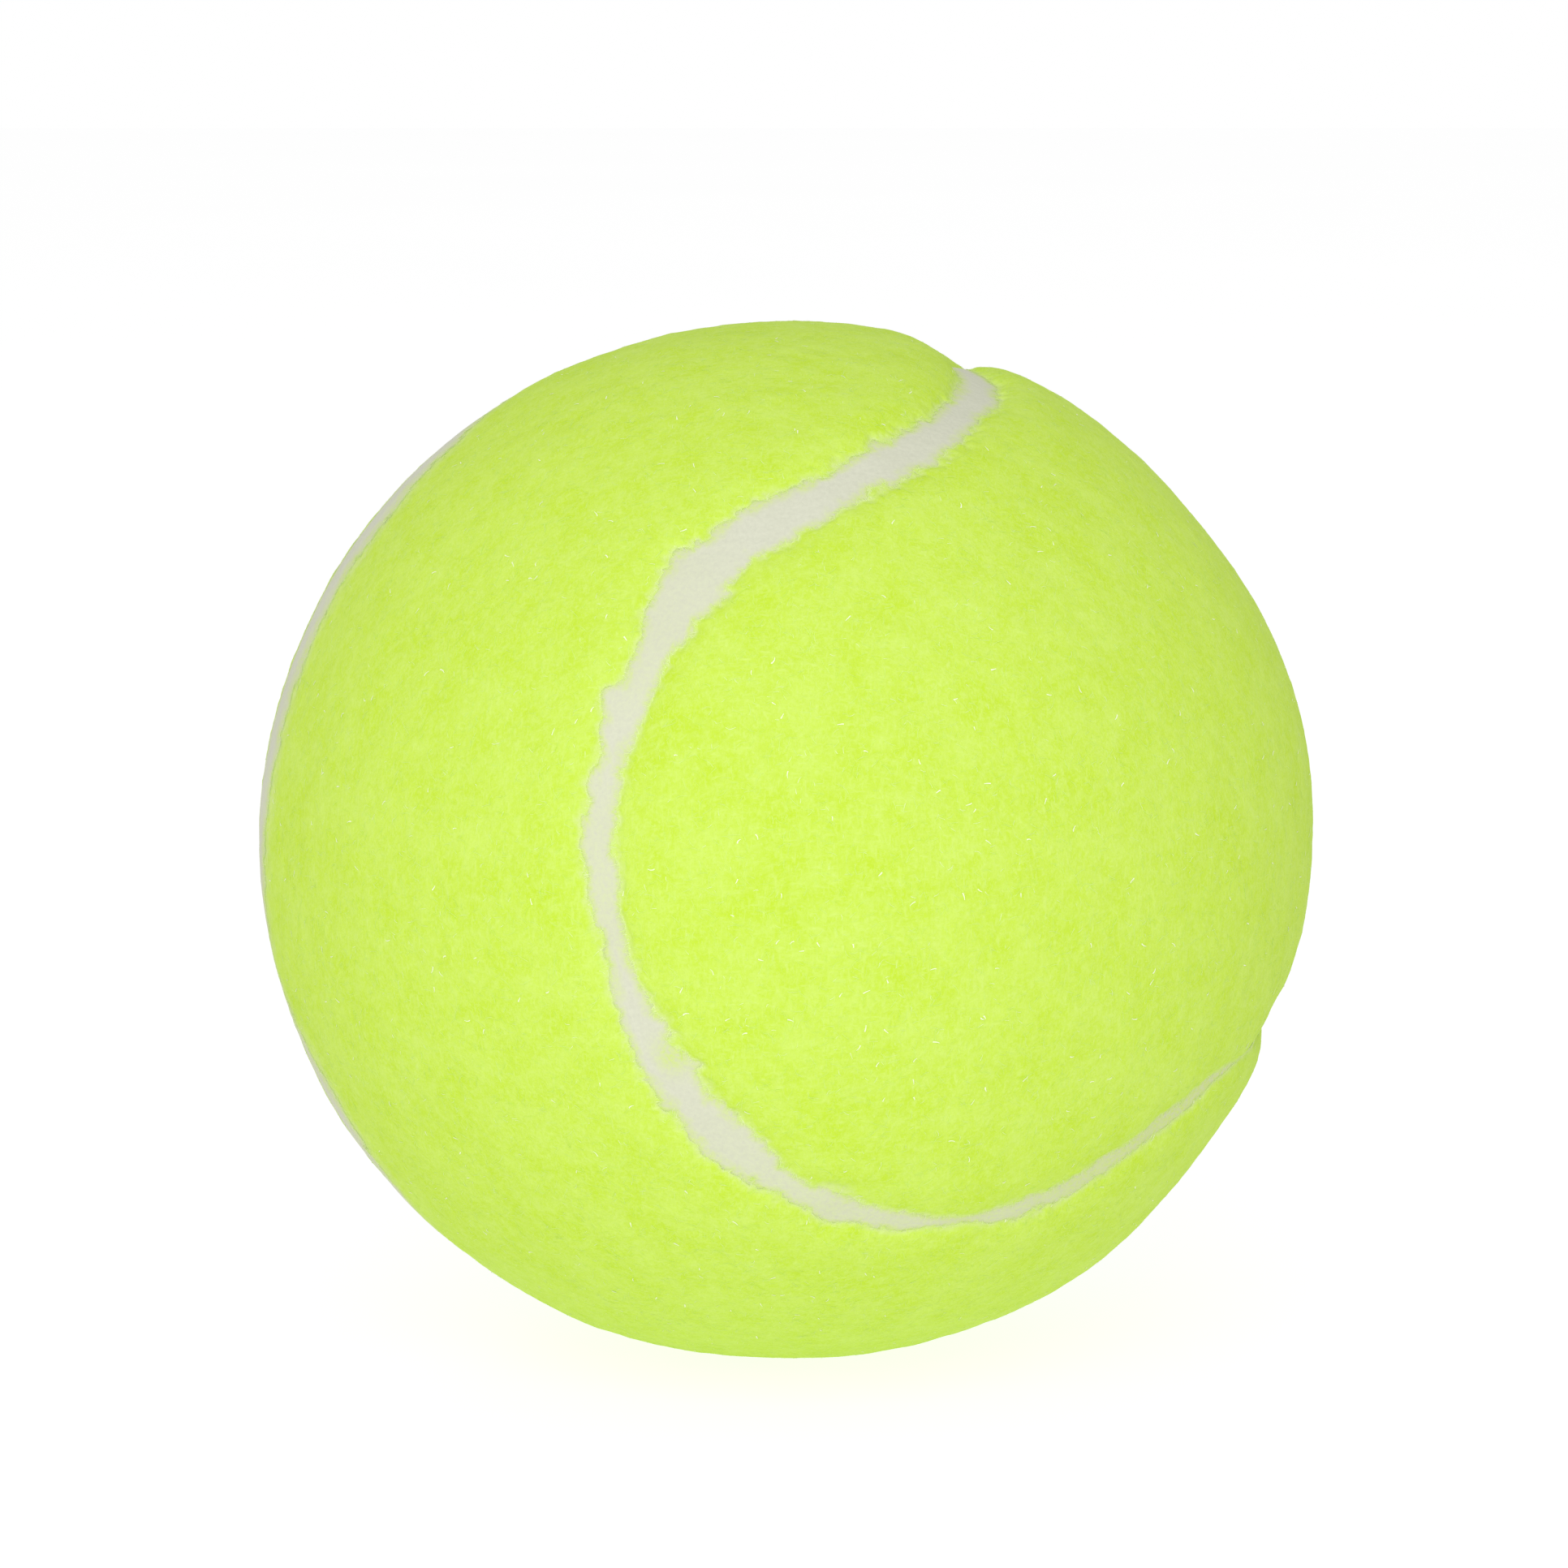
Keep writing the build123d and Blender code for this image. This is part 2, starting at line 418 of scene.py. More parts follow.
def seam_place(ways):
    """Nearest seam sample and signed distance from the seam in millimetres."""
    nearest = np.empty(len(ways), dtype=np.int64)
    batch = 20000
    for first in range(0, len(ways), batch):
        some = slice(first, first + batch)
        nearest[some] = (ways[some] @ seam_way.T).argmax(1)
    dot = (ways * seam_way[nearest]).sum(1)
    away = np.arccos(np.clip(dot, -1, 1)) * BALL_R
    side = np.sign((ways * seam_across[nearest]).sum(1))
    return nearest, away * np.where(side == 0, 1, side)


def swelling(ways):
    """How far the cover swells out or sinks in, in millimetres."""
    height = lumps(ways, COVER_LUMPS)
    for way, (_, _, reach, tall) in zip(swell_way, SWELLINGS):
        angle = np.arccos(np.clip(ways @ way, -1, 1))
        height = height + tall * np.exp(-0.5 * (angle / math.radians(reach)) ** 2)
    return height


def edge_line(ways, nearest, side, torn=1.0):
    """Distance of a panel's torn edge from the seam's middle, positive to its own side."""
    rag = lumps(ways, EDGE_WAVES[side]) + torn * lumps(ways, EDGE_TEARS[side])
    calm = CALM_FLAT - CALM_PER_DEPTH * edge_depth[side][nearest]
    rag = rag * np.clip(calm, CALM_LEAST, 1)
    gap = edge_reach[-1][nearest] + edge_reach[1][nearest]
    return edge_reach[side][nearest] + rag * np.clip(gap / WIDE_GAP, *GAP_TEARING)


def geodesic_grid(n):
    """Directions and triangles of a ball in even triangles, n along each of 20 sides."""
    g = (1 + 5**0.5) / 2
    corner = unit(
        np.array(
            [
                (-1, g, 0), (1, g, 0), (-1, -g, 0), (1, -g, 0),
                (0, -1, g), (0, 1, g), (0, -1, -g), (0, 1, -g),
                (g, 0, -1), (g, 0, 1), (-g, 0, -1), (-g, 0, 1),
            ],
            dtype=float,
        )
    )
    sides = [
        (0, 11, 5), (0, 5, 1), (0, 1, 7), (0, 7, 10), (0, 10, 11),
        (1, 5, 9), (5, 11, 4), (11, 10, 2), (10, 7, 6), (7, 1, 8),
        (3, 9, 4), (3, 4, 2), (3, 2, 6), (3, 6, 8), (3, 8, 9),
        (4, 9, 5), (2, 4, 11), (6, 2, 10), (8, 6, 7), (9, 8, 1),
    ]
    points, faces = [], []
    base = 0
    row_start = np.cumsum([0] + [n + 1 - i for i in range(n)])
    for a, b, c in sides:
        for i in range(n + 1):
            j = np.arange(n + 1 - i)[:, None]
            points.append(corner[a] * (n - i - j) + corner[b] * j + corner[c] * i)
        for i in range(n):
            j = np.arange(n - i)
            lo, hi = base + row_start[i] + j, base + row_start[i + 1] + j
            faces.append(np.stack([lo, lo + 1, hi], 1))
            faces.append(np.stack([lo + 1, hi + 1, hi], 1)[:-1])
        base += (n + 1) * (n + 2) // 2
    points = unit(np.concatenate(points))
    keys = np.round(points * 1e6).astype(np.int64)
    _, first, same = np.unique(keys, axis=0, return_index=True, return_inverse=True)
    return points[first], same.reshape(-1)[np.concatenate(faces)]


def refine(ways, faces, wanted):
    """Splits in two each side of a triangle whose both ends are wanted."""
    sides = np.concatenate([faces[:, [0, 1]], faces[:, [1, 2]], faces[:, [2, 0]]])
    sides.sort(axis=1)
    pairs, which = np.unique(sides, axis=0, return_inverse=True)
    which = which.reshape(-1)
    split = wanted[pairs[:, 0]] & wanted[pairs[:, 1]]
    number = np.full(len(pairs), -1)
    number[split] = len(ways) + np.arange(split.sum())
    middle = unit(ways[pairs[split, 0]] + ways[pairs[split, 1]])
    ways = np.concatenate([ways, middle])
    m = number[which].reshape(3, -1).T
    count = (m >= 0).sum(1)
    done = [faces[count == 0]]
    f, h = faces[count == 3], m[count == 3]
    for tri in (
        (f[:, 0], h[:, 0], h[:, 2]),
        (f[:, 1], h[:, 1], h[:, 0]),
        (f[:, 2], h[:, 2], h[:, 1]),
        (h[:, 0], h[:, 1], h[:, 2]),
    ):
        done.append(np.stack(tri, 1))
    for first in range(3):
        turn = [first, (first + 1) % 3, (first + 2) % 3]
        one = (count == 1) & (m[:, first] >= 0)
        f, h = faces[one][:, turn], m[one][:, first]
        done.append(np.stack([f[:, 0], h, f[:, 2]], 1))
        done.append(np.stack([h, f[:, 1], f[:, 2]], 1))
        two = (count == 2) & (m[:, turn[2]] < 0)
        f, h = faces[two][:, turn], m[two][:, turn]
        done.append(np.stack([f[:, 1], h[:, 1], h[:, 0]], 1))
        done.append(np.stack([f[:, 0], h[:, 0], h[:, 1]], 1))
        done.append(np.stack([f[:, 0], h[:, 1], f[:, 2]], 1))
    return ways, np.concatenate(done)


def cut_at_edge(ways, faces, beyond):
    """Keeps where beyond is positive, cutting the triangles on the way along its zero line."""
    inside = beyond > 0
    count = inside[faces].sum(1)
    part = faces[(count == 1) | (count == 2)]
    sides = np.concatenate([part[:, [0, 1]], part[:, [1, 2]], part[:, [2, 0]]])
    sides = sides[inside[sides[:, 0]] != inside[sides[:, 1]]]
    sides = np.unique(np.sort(sides, axis=1), axis=0)
    share = beyond[sides[:, 0]] / (beyond[sides[:, 0]] - beyond[sides[:, 1]])
    sliver = 0.02
    share = np.clip(share, sliver, 1 - sliver)[:, None]
    cut_ways = unit(ways[sides[:, 0]] * (1 - share) + ways[sides[:, 1]] * share)
    cuts = {(int(a), int(b)): len(ways) + i for i, (a, b) in enumerate(sides)}

    def cut(a, b):
        return cuts[(a, b) if a < b else (b, a)]

    extra = []
    for tri in part.tolist():
        flags = [bool(inside[v]) for v in tri]
        lone = flags.index(True) if sum(flags) == 1 else flags.index(False)
        a, b, c = tri[lone], tri[(lone + 1) % 3], tri[(lone + 2) % 3]
        ab, ca = cut(a, b), cut(c, a)
        if sum(flags) == 1:
            extra.append((a, ab, ca))
        else:
            extra.append((ab, b, c))
            extra.append((ab, c, ca))
    ways = np.concatenate([ways, cut_ways])
    faces = np.concatenate([faces[count == 3], np.array(extra, dtype=np.int64)])
    used = np.unique(faces)
    again = np.full(len(ways), -1)
    again[used] = np.arange(len(used))
    return ways[used], again[faces]


def make_mesh(name, points, faces, material, smooth=True):
    """A mesh object from points in millimetres."""
    mesh = bpy.data.meshes.new(name)
    faces = np.asarray(faces)
    corners = faces.shape[1]
    mesh.vertices.add(len(points))
    mesh.vertices.foreach_set("co", (np.asarray(points) * MM).astype(np.float32).ravel())
    mesh.loops.add(faces.size)
    mesh.loops.foreach_set("vertex_index", faces.astype(np.int32).ravel())
    mesh.polygons.add(len(faces))
    mesh.polygons.foreach_set("loop_start", np.arange(0, faces.size, corners, dtype=np.int32))
    mesh.update(calc_edges=True)
    mesh.validate()
    mesh.polygons.foreach_set("use_smooth", np.full(len(mesh.polygons), smooth))
    mesh.materials.append(material)
    thing = bpy.data.objects.new(name, mesh)
    bpy.context.scene.collection.objects.link(thing)
    return thing


def note(thing, name, values):
    """Stores one number per point for the material."""
    thing.data.attributes.new(name, "FLOAT", "POINT").data.foreach_set(
        "value", np.asarray(values, dtype=np.float32)
    )


def nodes_of(name):
    """A new material and helpers to add and link its nodes."""
    material = bpy.data.materials.new(name)
    material.use_nodes = True
    tree = material.node_tree
    shader = tree.nodes["Principled BSDF"]

    def add(kind, inputs=None, **settings):
        node = tree.nodes.new(kind)
        for key, value in settings.items():
            setattr(node, key, value)
        for key, value in (inputs or {}).items():
            if hasattr(value, "is_output"):
                tree.links.new(value, node.inputs[key])
            else:
                node.inputs[key].default_value = value
        return node

    return material, tree, shader, add


def mix_colour(add, factor, a, b):
    """Output of a colour mix."""
    node = add("ShaderNodeMix", data_type="RGBA")
    for socket, value in ((node.inputs[0], factor), (node.inputs[6], a), (node.inputs[7], b)):
        if hasattr(value, "is_output"):
            node.id_data.links.new(value, socket)
        else:
            socket.default_value = value
    return node.outputs[2]


def noise_node(add, where, scale, detail, distortion=0.0):
    """Output of a noise texture."""
    inputs = {"Vector": where, "Scale": scale, "Detail": detail, "Distortion": distortion}
    return add("ShaderNodeTexNoise", inputs).outputs["Fac"]


def ranged(add, value, ends, results):
    """Output that goes from one result to the other as a value goes between its ends."""
    inputs = {0: value, 1: ends[0], 2: ends[1], 3: results[0], 4: results[1]}
    return add("ShaderNodeMapRange", inputs).outputs[0]


def combined(add, operation, a, b):
    """Output of a math node with two values."""
    return add("ShaderNodeMath", {0: a, 1: b}, operation=operation).outputs[0]


def bumped(add, height, strength, distance, under=None):
    """Output of a bump, on top of another one if given."""
    inputs = {"Height": height, "Strength": strength, "Distance": distance}
    if under is not None:
        inputs["Normal"] = under
    return add("ShaderNodeBump", inputs).outputs[0]


def felt_material():
    """Short needled pile: clumps, crossing fibre streaks and a pale rim at the seam."""
    material, tree, shader, add = nodes_of("felt")
    where = add("ShaderNodeTexCoord").outputs["Object"]
    clumps = noise_node(add, where, 380.0, 4.0)
    fine = noise_node(add, where, 3600.0, 4.0, 1.2)
    wisps = noise_node(add, where, 1500.0, 3.0, 0.3)
    streaks = []
    for turn, stretch in (
        ((0.3, 0.2, 0.5), (9000.0, 1600.0, 5200.0)),
        ((1.2, -0.4, 1.9), (1600.0, 9000.0, 5200.0)),
        ((-0.6, 1.0, 2.8), (5200.0, 5200.0, 1300.0)),
    ):
        lay = {"Vector": where, "Rotation": turn, "Scale": stretch}
        lay = add("ShaderNodeMapping", lay).outputs["Vector"]
        streaks.append(noise_node(add, lay, 1.0, 2.0, 0.6))
    pile = combined(add, "MAXIMUM", streaks[0], streaks[1])
    pile = combined(add, "MAXIMUM", pile, streaks[2])

    spread = ranged(add, clumps, (0.32, 0.68), (0.0, 1.0))
    shade = mix_colour(add, spread, (0.565, 0.800, 0.045, 1), (0.612, 0.838, 0.105, 1))
    haze = ranged(add, wisps, (0.42, 0.72), (0.0, 0.40))
    shade = mix_colour(add, haze, shade, (0.665, 0.875, 0.200, 1))
    glow = ranged(add, pile, (0.52, 0.78), (0.0, 0.70))
    shade = mix_colour(add, glow, shade, (0.685, 0.890, 0.215, 1))
    dim = ranged(add, fine, (0.28, 0.50), (0.40, 0.0))
    shade = mix_colour(add, dim, shade, (0.54, 0.770, 0.040, 1))
    rim = add("ShaderNodeAttribute", attribute_name="rim").outputs["Fac"]
    patchy = ranged(add, fine, (0.3, 0.6), (0.25, 0.85))
    soaked = combined(add, "MULTIPLY", rim, patchy)
    shade = mix_colour(add, soaked, shade, (0.69, 0.80, 0.36, 1))
    tree.links.new(shade, shader.inputs["Base Color"])

    rough = ranged(add, fine, (0.2, 0.8), (0.82, 1.0))
    tree.links.new(rough, shader.inputs["Roughness"])
    relief = bumped(add, clumps, 0.2, 0.0002)
    relief = bumped(add, pile, 0.3, 0.0001, relief)
    relief = bumped(add, fine, 0.4, 0.00008, relief)
    tree.links.new(relief, shader.inputs["Normal"])
    shader.inputs["Specular IOR Level"].default_value = 0.15
    shader.inputs["Sheen Weight"].default_value = 0.05
    shader.inputs["Sheen Roughness"].default_value = 0.45
    shader.inputs["Sheen Tint"].default_value = (0.78, 1.0, 0.60, 1)
    return material


def fibre_material():
    """Single fibres, from felt-coloured to nearly white; the near-white ones are partly painted
    highlights that stand in for the felt's glints.
    """
    material, tree, shader, add = nodes_of("felt_fibre")
    pale = add("ShaderNodeAttribute", attribute_name="pale").outputs["Fac"]
    where = add("ShaderNodeTexCoord").outputs["Object"]
    grain = noise_node(add, where, 2500.0, 2.0)
    shade = mix_colour(add, grain, (0.60, 0.83, 0.08, 1), (0.69, 0.91, 0.17, 1))
    # the near-white mix is partly painted highlight: on the palest fibres it stands in for
    # glints
    shade = mix_colour(add, pale, shade, (0.93, 0.97, 0.68, 1))
    tree.links.new(shade, shader.inputs["Base Color"])
    rough = ranged(add, grain, (0.2, 0.8), (0.45, 0.7))
    tree.links.new(rough, shader.inputs["Roughness"])
    shader.inputs["Specular IOR Level"].default_value = 0.3
    shader.inputs["Sheen Weight"].default_value = 0.05
    shader.inputs["Sheen Roughness"].default_value = 0.45
    return material


def cement_material():
    """Dried rubber cement: matt, off-white, with grain, pits and stains of the felt's colour."""
    material, tree, shader, add = nodes_of("seam_cement")
    where = add("ShaderNodeTexCoord").outputs["Object"]
    broad = noise_node(add, where, 260.0, 3.0)
    grain = noise_node(add, where, 4200.0, 4.0)
    pits = add("ShaderNodeTexVoronoi", {"Vector": where, "Scale": 1900.0}).outputs["Distance"]

    shade = mix_colour(add, broad, (0.66, 0.67, 0.52, 1), (0.72, 0.73, 0.60, 1))
    speck = ranged(add, grain, (0.3, 0.62), (0.35, 0.0))
    shade = mix_colour(add, speck, shade, (0.57, 0.58, 0.46, 1))
    near = add("ShaderNodeAttribute", attribute_name="near").outputs["Fac"]
    patchy = ranged(add, grain, (0.3, 0.65), (0.3, 1.0))
    dyed = combined(add, "MULTIPLY", near, patchy)
    shade = mix_colour(add, dyed, shade, (0.63, 0.77, 0.20, 1))
    tree.links.new(shade, shader.inputs["Base Color"])

    rough = ranged(add, grain, (0.2, 0.8), (0.62, 0.85))
    tree.links.new(rough, shader.inputs["Roughness"])
    relief = bumped(add, pits, 0.25, 0.0001)
    relief = bumped(add, grain, 0.4, 0.00006, relief)
    tree.links.new(relief, shader.inputs["Normal"])
    shader.inputs["Specular IOR Level"].default_value = 0.25
    return material


def rubber_material(name, dark, light, scale, roughness):
    """A moulded or spread rubber: mottled colour, grain and roughness."""
    material, tree, shader, add = nodes_of(name)
    where = add("ShaderNodeTexCoord").outputs["Object"]
    mottle = noise_node(add, where, scale, 4.0)
    grain = noise_node(add, where, scale * 8, 3.0)
    tree.links.new(mix_colour(add, mottle, dark, light), shader.inputs["Base Color"])
    rough = ranged(add, grain, (0.2, 0.8), roughness)
    tree.links.new(rough, shader.inputs["Roughness"])
    tree.links.new(bumped(add, grain, 0.3, 0.0001), shader.inputs["Normal"])
    return material


def felt_panel(name, side, grid, material):
    """One closed felt panel: the rounded outer face, the torn edge and the flat back."""
    ways, faces = grid
    nearest, away = seam_place(ways)
    ways, faces = cut_at_edge(ways, faces, side * away - edge_line(ways, nearest, side))
    nearest, away = seam_place(ways)
    beyond = np.maximum(side * away - edge_line(ways, nearest, side), 0)
    even = np.maximum(side * away - edge_line(ways, nearest, side, ROLL_TORN), 0)
    fall = np.clip(1 - even / edge_roll[side][nearest], 0, 1) ** ROLL_POWER
    foot = np.clip(beyond / EDGE_ROUND, 0, 1)
    fall = 1 - (1 - fall) * foot
    outer = BALL_R + swelling(ways) - edge_depth[side][nearest] * fall
    outer = outer + lumps(ways, FELT_TUFTS) * np.clip(beyond / TUFT_FADE, TUFT_LEAST, 1)
    count = len(ways)
    points = np.concatenate([ways * outer[:, None], ways * BACKING_R])
    sides = np.concatenate([faces[:, [0, 1]], faces[:, [1, 2]], faces[:, [2, 0]]])
    _, which, uses = np.unique(
        np.sort(sides, axis=1), axis=0, return_inverse=True, return_counts=True
    )
    rim = sides[uses[which.reshape(-1)] == 1]
    a, b = rim[:, 0], rim[:, 1]
    wall = np.concatenate(
        [np.stack([b, a, a + count], 1), np.stack([b, a + count, b + count], 1)]
    )
    everything = np.concatenate([faces, faces[:, ::-1] + count, wall])
    panel = make_mesh(name, points, everything, material)
    on_rim = np.zeros(len(points), dtype=bool)
    on_rim[a] = True
    ends = np.empty(len(panel.data.edges) * 2, dtype=np.int32)
    panel.data.edges.foreach_get("vertices", ends)
    panel.data.attributes.new("sharp_edge", "BOOLEAN", "EDGE").data.foreach_set(
        "value", on_rim[ends].reshape(-1, 2).all(1)
    )
    pale = np.clip(1 - beyond / soak_reach[nearest], 0, 1)
    note(panel, "rim", np.concatenate([pale, np.ones(count)]))
    return panel, points[:count], faces, np.unique(a)


def scattered(points, faces, number, rng):
    """Even random places on a surface, with their normals."""
    a, b, c = (points[faces[:, i]] for i in range(3))
    normal = np.cross(b - a, c - a)
    size = np.linalg.norm(normal, axis=1)
    pick = rng.choice(len(faces), number, p=size / size.sum())
    u, v = rng.random(number), rng.random(number)
    flip = u + v > 1
    u, v = np.where(flip, 1 - u, u)[:, None], np.where(flip, 1 - v, v)[:, None]
    spot = a[pick] + u * (b - a)[pick] + v * (c - a)[pick]
    return spot, unit(normal[pick])


def fibres(name, roots, normals, lay, rng, length, width, lift, pale, material):
    """Loose curved fibres, each a narrow strip of three faces lying near the felt."""
    n = len(roots)
    bend = np.cross(normals, lay)
    curl = rng.uniform(-FIBRE_CURL, FIBRE_CURL, (n, 1)) * length
    arch = rng.uniform(0.0, 1.0, (n, 1)) * lift
    tip = rng.uniform(*FIBRE_TIP, (n, 1)) * lift
    points = []
    for t in FIBRE_PLACES:
        bow = 4 * t * (1 - t)
        middle = roots + lay * t * length + bend * curl * bow
        middle = middle + normals * (FIBRE_CLEAR + arch * bow + tip * t)
        thin = width * (1 - FIBRE_TAPER * t)
        points += [middle - bend * thin / 2, middle + bend * thin / 2]
    corners = len(points)
    points = np.stack(points, 1).reshape(-1, 3)
    first = np.arange(n)[:, None] * corners
    strips = range(0, corners - 2, 2)
    faces = np.concatenate([first + np.array([k, k + 2, k + 3, k + 1]) for k in strips])
    thing = make_mesh(name, points, faces, material)
    note(thing, "pale", np.repeat(pale, corners))
    return thing


def edge_fibres(name, side, rim, rng, material):
    """Fibres that lie from a felt edge over the cement."""
    rim_at = seam_at[seam_place(unit(rim))[0]]
    roots, lengths, buried, lifts = [], [], [], []
    for sides, first, last, number, (short, long), inside, lift in EDGE_FIBRES:
        if side in sides:
            roots.append(rng.choice(rim[(rim_at >= first) & (rim_at <= last)], number))
            lengths.append(rng.uniform(short, long, number))
            buried.append(np.full(number, inside))
            lifts.append(np.full(number, lift))
    root, length, inside, lift = map(np.concatenate, (roots, lengths, buried, lifts))
    up = unit(root)
    nearest, _ = seam_place(up)
    lay = -side * seam_across[nearest] + EDGE_FIBRE_STRAY * rng.normal(size=root.shape)
    lay = unit(lay - up * (lay * up).sum(1, keepdims=True))
    gap = (edge_reach[-1] + edge_reach[1])[nearest]
    length = length * np.clip(gap / EDGE_FIBRE_GAP, EDGE_FIBRE_SHORTEST, 1)
    start = root - lay * (length * inside)[:, None]
    width = rng.uniform(*EDGE_FIBRE_WIDTH, (len(root), 1))
    pale = rng.uniform(*EDGE_FIBRE_PALE, len(root))
    return fibres(
        name, start, up, lay, rng, length[:, None], width, lift[:, None], pale, material
    )


def cement_strip(material):
    """The seam cement: one closed strip, tucked under both felt edges."""
    step = SEAM_SAMPLES // CEMENT_ROWS
    way, side = seam_way[::step], seam_across[::step]
    low = -edge_reach[-1][::step] - TUCK
    high = edge_reach[1][::step] + TUCK
    ring = []
    for share in np.linspace(0, 1, CEMENT_COLUMNS):
        angle = ((low * (1 - share) + high * share) / BALL_R)[:, None]
        ring.append(way * np.cos(angle) + side * np.sin(angle))
    flat = np.stack(ring, 1).reshape(-1, 3)
    nearest, away = seam_place(flat)
    gap = np.maximum(edge_reach[-1][nearest] + edge_reach[1][nearest], LEAST_GAP)
    across = np.clip((away + edge_reach[-1][nearest]) / gap, 0, 1)
    depth = edge_depth[-1][nearest] * (1 - across) + edge_depth[1][nearest] * across
    clear = np.minimum(
        away + edge_line(flat, nearest, -1), edge_line(flat, nearest, 1) - away
    )
    level = BALL_R + swelling(flat) - depth - LIP
    level = level + lumps(flat, CEMENT_RIPPLES) * np.clip(clear / RIPPLE_FADE, 0, 1)
    level = level - TUCK_DIP * np.clip((-clear - TUCK_START) / TUCK_RAMP, 0, 1)
    top = flat * level[:, None]
    foot = flat * (BACKING_R - CEMENT_FOOT)
    count = len(flat)
    grid = np.arange(count).reshape(CEMENT_ROWS, CEMENT_COLUMNS)
    next_row = np.roll(grid, -1, 0)

    def quads(p, q, r, s):
        return np.stack([p.ravel(), q.ravel(), r.ravel(), s.ravel()], 1)

    upper = quads(grid[:, :-1], next_row[:, :-1], next_row[:, 1:], grid[:, 1:])
    lower = upper[:, ::-1] + count
    left = quads(grid[:, 0], grid[:, 0] + count, next_row[:, 0] + count, next_row[:, 0])
    right = quads(
        grid[:, -1], next_row[:, -1], next_row[:, -1] + count, grid[:, -1] + count
    )
    strip = make_mesh(
        "seam_strip", np.concatenate([top, foot]), np.concatenate([upper, lower, left, right]),
        material,
    )
    near = np.clip(1 - clear / stain_reach[nearest], 0, 1) ** STAIN_POWER
    veil = np.exp(-(((seam_at[nearest] - VEIL_AT) / VEIL_REACH) ** 2))
    veil = veil * np.clip(0.5 + away / VEIL_REACH, 0, 1)
    near = np.maximum(near, np.maximum(stain_share[nearest], VEIL_STAIN * veil))
    note(strip, "near", np.concatenate([near, near]))
    return strip


ways, faces = geodesic_grid(FELT_GRID)
for band in FINE_BANDS:
    nearest, away = seam_place(ways)
    off_edge = np.minimum(
        np.abs(away + edge_reach[-1][nearest]), np.abs(away - edge_reach[1][nearest])
    )
    ways, faces = refine(ways, faces, off_edge < band)

felt = felt_material()
fibre = fibre_material()
cement = cement_material()

strip = cement_strip(cement)
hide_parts("seam_cement")
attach(strip, "root")

rng = np.random.default_rng(FIBRE_SEED)
for name, side in (("left", -1), ("right", 1)):
    panel, points, panel_faces, rim = felt_panel(f"felt_{name}", side, (ways, faces), felt)
    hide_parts(f"felt_panel_{name}")
    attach(panel, "root")

    spots, normals = scattered(points, panel_faces, sum(kind[0] for kind in FIBRES), rng)
    lay = unit(np.cross(normals, unit(rng.normal(size=spots.shape))))
    length, width, pale = (
        np.concatenate([rng.uniform(*kind[column], kind[0]) for kind in FIBRES])
        for column in (1, 2, 3)
    )
    hair = fibres(
        f"fibres_{name}", spots, normals, lay, rng, length[:, None], width[:, None],
        FIBRE_LIFT, pale, fibre,
    )

    fringe = edge_fibres(f"fringe_{name}", side, points[rim], rng, fibre)
    for loose in (hair, fringe):
        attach(loose, "root")

core = rubber_material(
    "core_rubber", (0.035, 0.035, 0.04, 1), (0.075, 0.075, 0.08, 1), 300.0, (0.6, 0.85)
)
glue = rubber_material(
    "core_cement", (0.52, 0.42, 0.27, 1), (0.68, 0.58, 0.42, 1), 220.0, (0.4, 0.65)
)
back = rubber_material(
    "panel_backing", (0.66, 0.63, 0.53, 1), (0.78, 0.75, 0.66, 1), 500.0, (0.7, 0.9)
)
for node, material in (
    ("core_half_upper", core),
    ("core_half_lower", core),
    ("core_joint_cement", glue),
    ("core_coat", glue),
    ("panel_backing_left", back),
    ("panel_backing_right", back),
):
    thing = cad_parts[node]
    thing.data.materials.clear()
    thing.data.materials.append(material)


def seen_directly(tree):
    """1 for rays from the camera and in gloss and glass, 0 for light that falls on things."""
    path = tree.nodes.new("ShaderNodeLightPath")
    seen = path.outputs["Is Camera Ray"]
    for kind in ("Is Glossy Ray", "Is Transmission Ray"):
        either = tree.nodes.new("ShaderNodeMath")
        either.operation = "MAXIMUM"
        tree.links.new(seen, either.inputs[0])
        tree.links.new(path.outputs[kind], either.inputs[1])
        seen = either.outputs[0]
    return seen


def floor_material():
    """A white light table: it glows a little and takes the ball's soft shadow."""
    material, tree, shader, add = nodes_of("floor")
    where = add("ShaderNodeTexCoord").outputs["Object"]
    cloud = noise_node(add, where, 4.0, 2.0)
    tree.links.new(
        mix_colour(add, cloud, (0.34, 0.34, 0.34, 1), (0.36, 0.36, 0.36, 1)),
        shader.inputs["Base Color"],
    )
    shader.inputs["Roughness"].default_value = 0.9
    shader.inputs["Specular IOR Level"].default_value = 0.0
    shader.inputs["Emission Color"].default_value = (1, 1, 1, 1)
    glow = ranged(add, seen_directly(tree), (0.0, 1.0), (FLOOR_GLOW, FLOOR_GLOW_SEEN))
    tree.links.new(glow, shader.inputs["Emission Strength"])
    return material


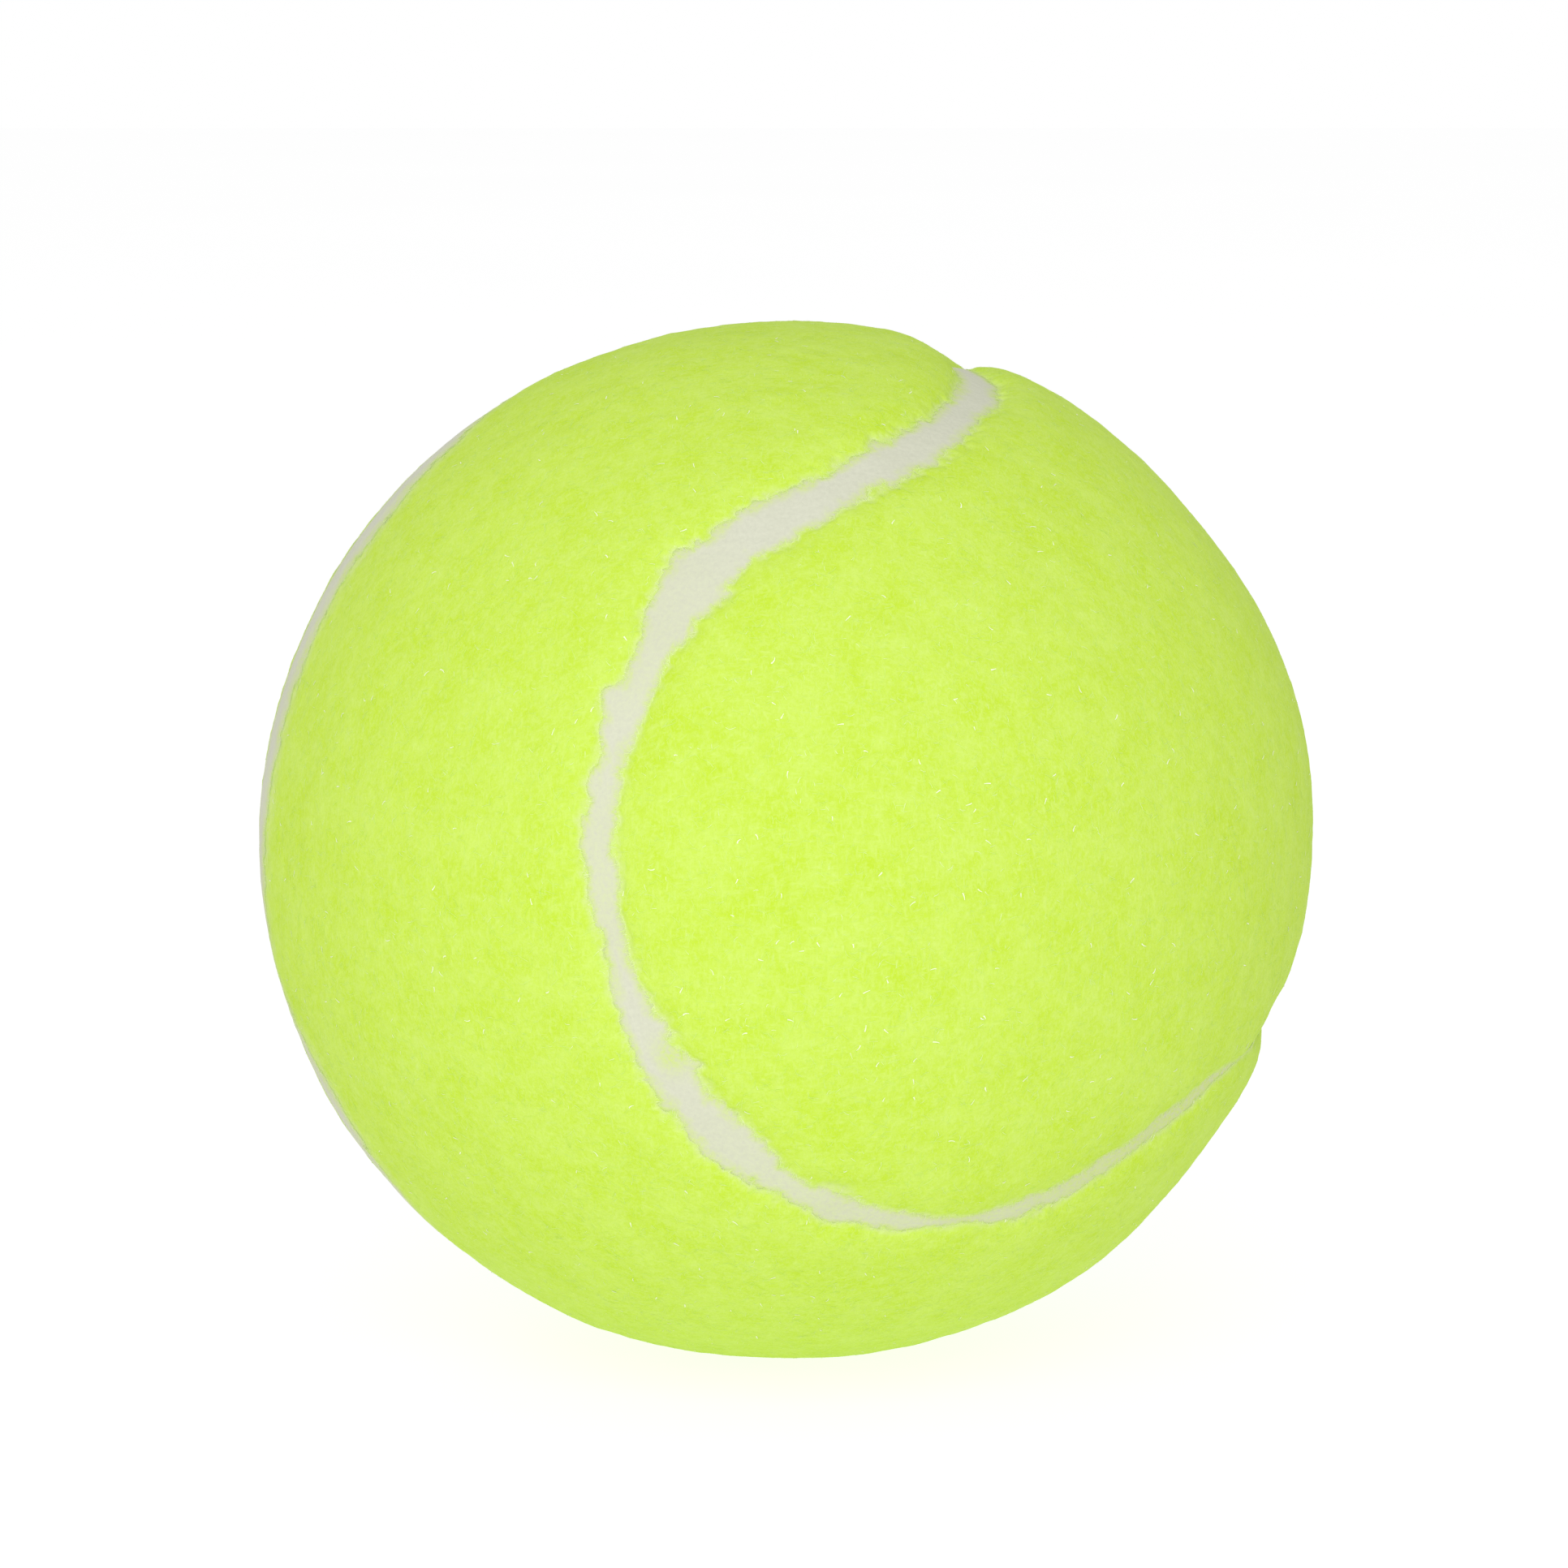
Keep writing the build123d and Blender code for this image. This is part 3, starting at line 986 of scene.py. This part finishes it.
mesh = bpy.data.meshes.new("floor")
h = FLOOR_SIDE / 2
mesh.from_pydata([(-h, -h, 0), (h, -h, 0), (h, h, 0), (-h, h, 0)], [], [(0, 1, 2, 3)])
floor = bpy.data.objects.new("floor", mesh)
floor.location = (0, 0, low.z)
bpy.context.scene.collection.objects.link(floor)
mesh.materials.append(floor_material())

world = bpy.data.worlds.new("studio")
bpy.context.scene.world = world
world.use_nodes = True
tree = world.node_tree
back_light = tree.nodes["Background"]
back_light.inputs["Color"].default_value = (1, 1, 1, 1)
back_light.inputs["Strength"].default_value = WORLD_LIGHT
white = tree.nodes.new("ShaderNodeBackground")
white.inputs["Color"].default_value = (1, 1, 1, 1)
white.inputs["Strength"].default_value = 1.0
both = tree.nodes.new("ShaderNodeMixShader")
tree.links.new(seen_directly(tree), both.inputs[0])
tree.links.new(back_light.outputs[0], both.inputs[1])
tree.links.new(white.outputs[0], both.inputs[2])
tree.links.new(both.outputs[0], tree.nodes["World Output"].inputs["Surface"])


def soft_light(name, place, side, power):
    """A large square lamp that faces the ball."""
    lamp = bpy.data.lights.new(name, "AREA")
    lamp.shape = "SQUARE"
    lamp.size = side
    lamp.energy = power
    thing = bpy.data.objects.new(name, lamp)
    thing.location = place
    thing.rotation_mode = "QUATERNION"
    thing.rotation_quaternion = (-Vector(place)).to_track_quat("-Z", "Y")
    bpy.context.scene.collection.objects.link(thing)


soft_light("key", KEY_PLACE, KEY_SIDE, KEY_POWER)

rise = math.radians(FRONT_RISE)
back_way = Vector((0, -math.cos(rise), math.sin(rise)))
focal_pixels = BALL_PIXELS * math.sqrt(CAMERA_RADII**2 - 1)
lens = bpy.data.cameras.new("camera")
lens.sensor_width = 36.0
lens.lens = lens.sensor_width * focal_pixels / PICTURE
lens.clip_start = 0.01
lens.clip_end = 20.0
camera = bpy.data.objects.new("camera", lens)
camera.location = back_way * CAMERA_RADII * BALL_R * MM
camera.rotation_mode = "XYZ"
camera.rotation_euler = (math.pi / 2 - rise + math.atan(BELOW_PIXELS / focal_pixels), 0, 0)
bpy.context.scene.collection.objects.link(camera)
bpy.context.scene.camera = camera
bpy.context.scene.view_settings.view_transform = "Standard"
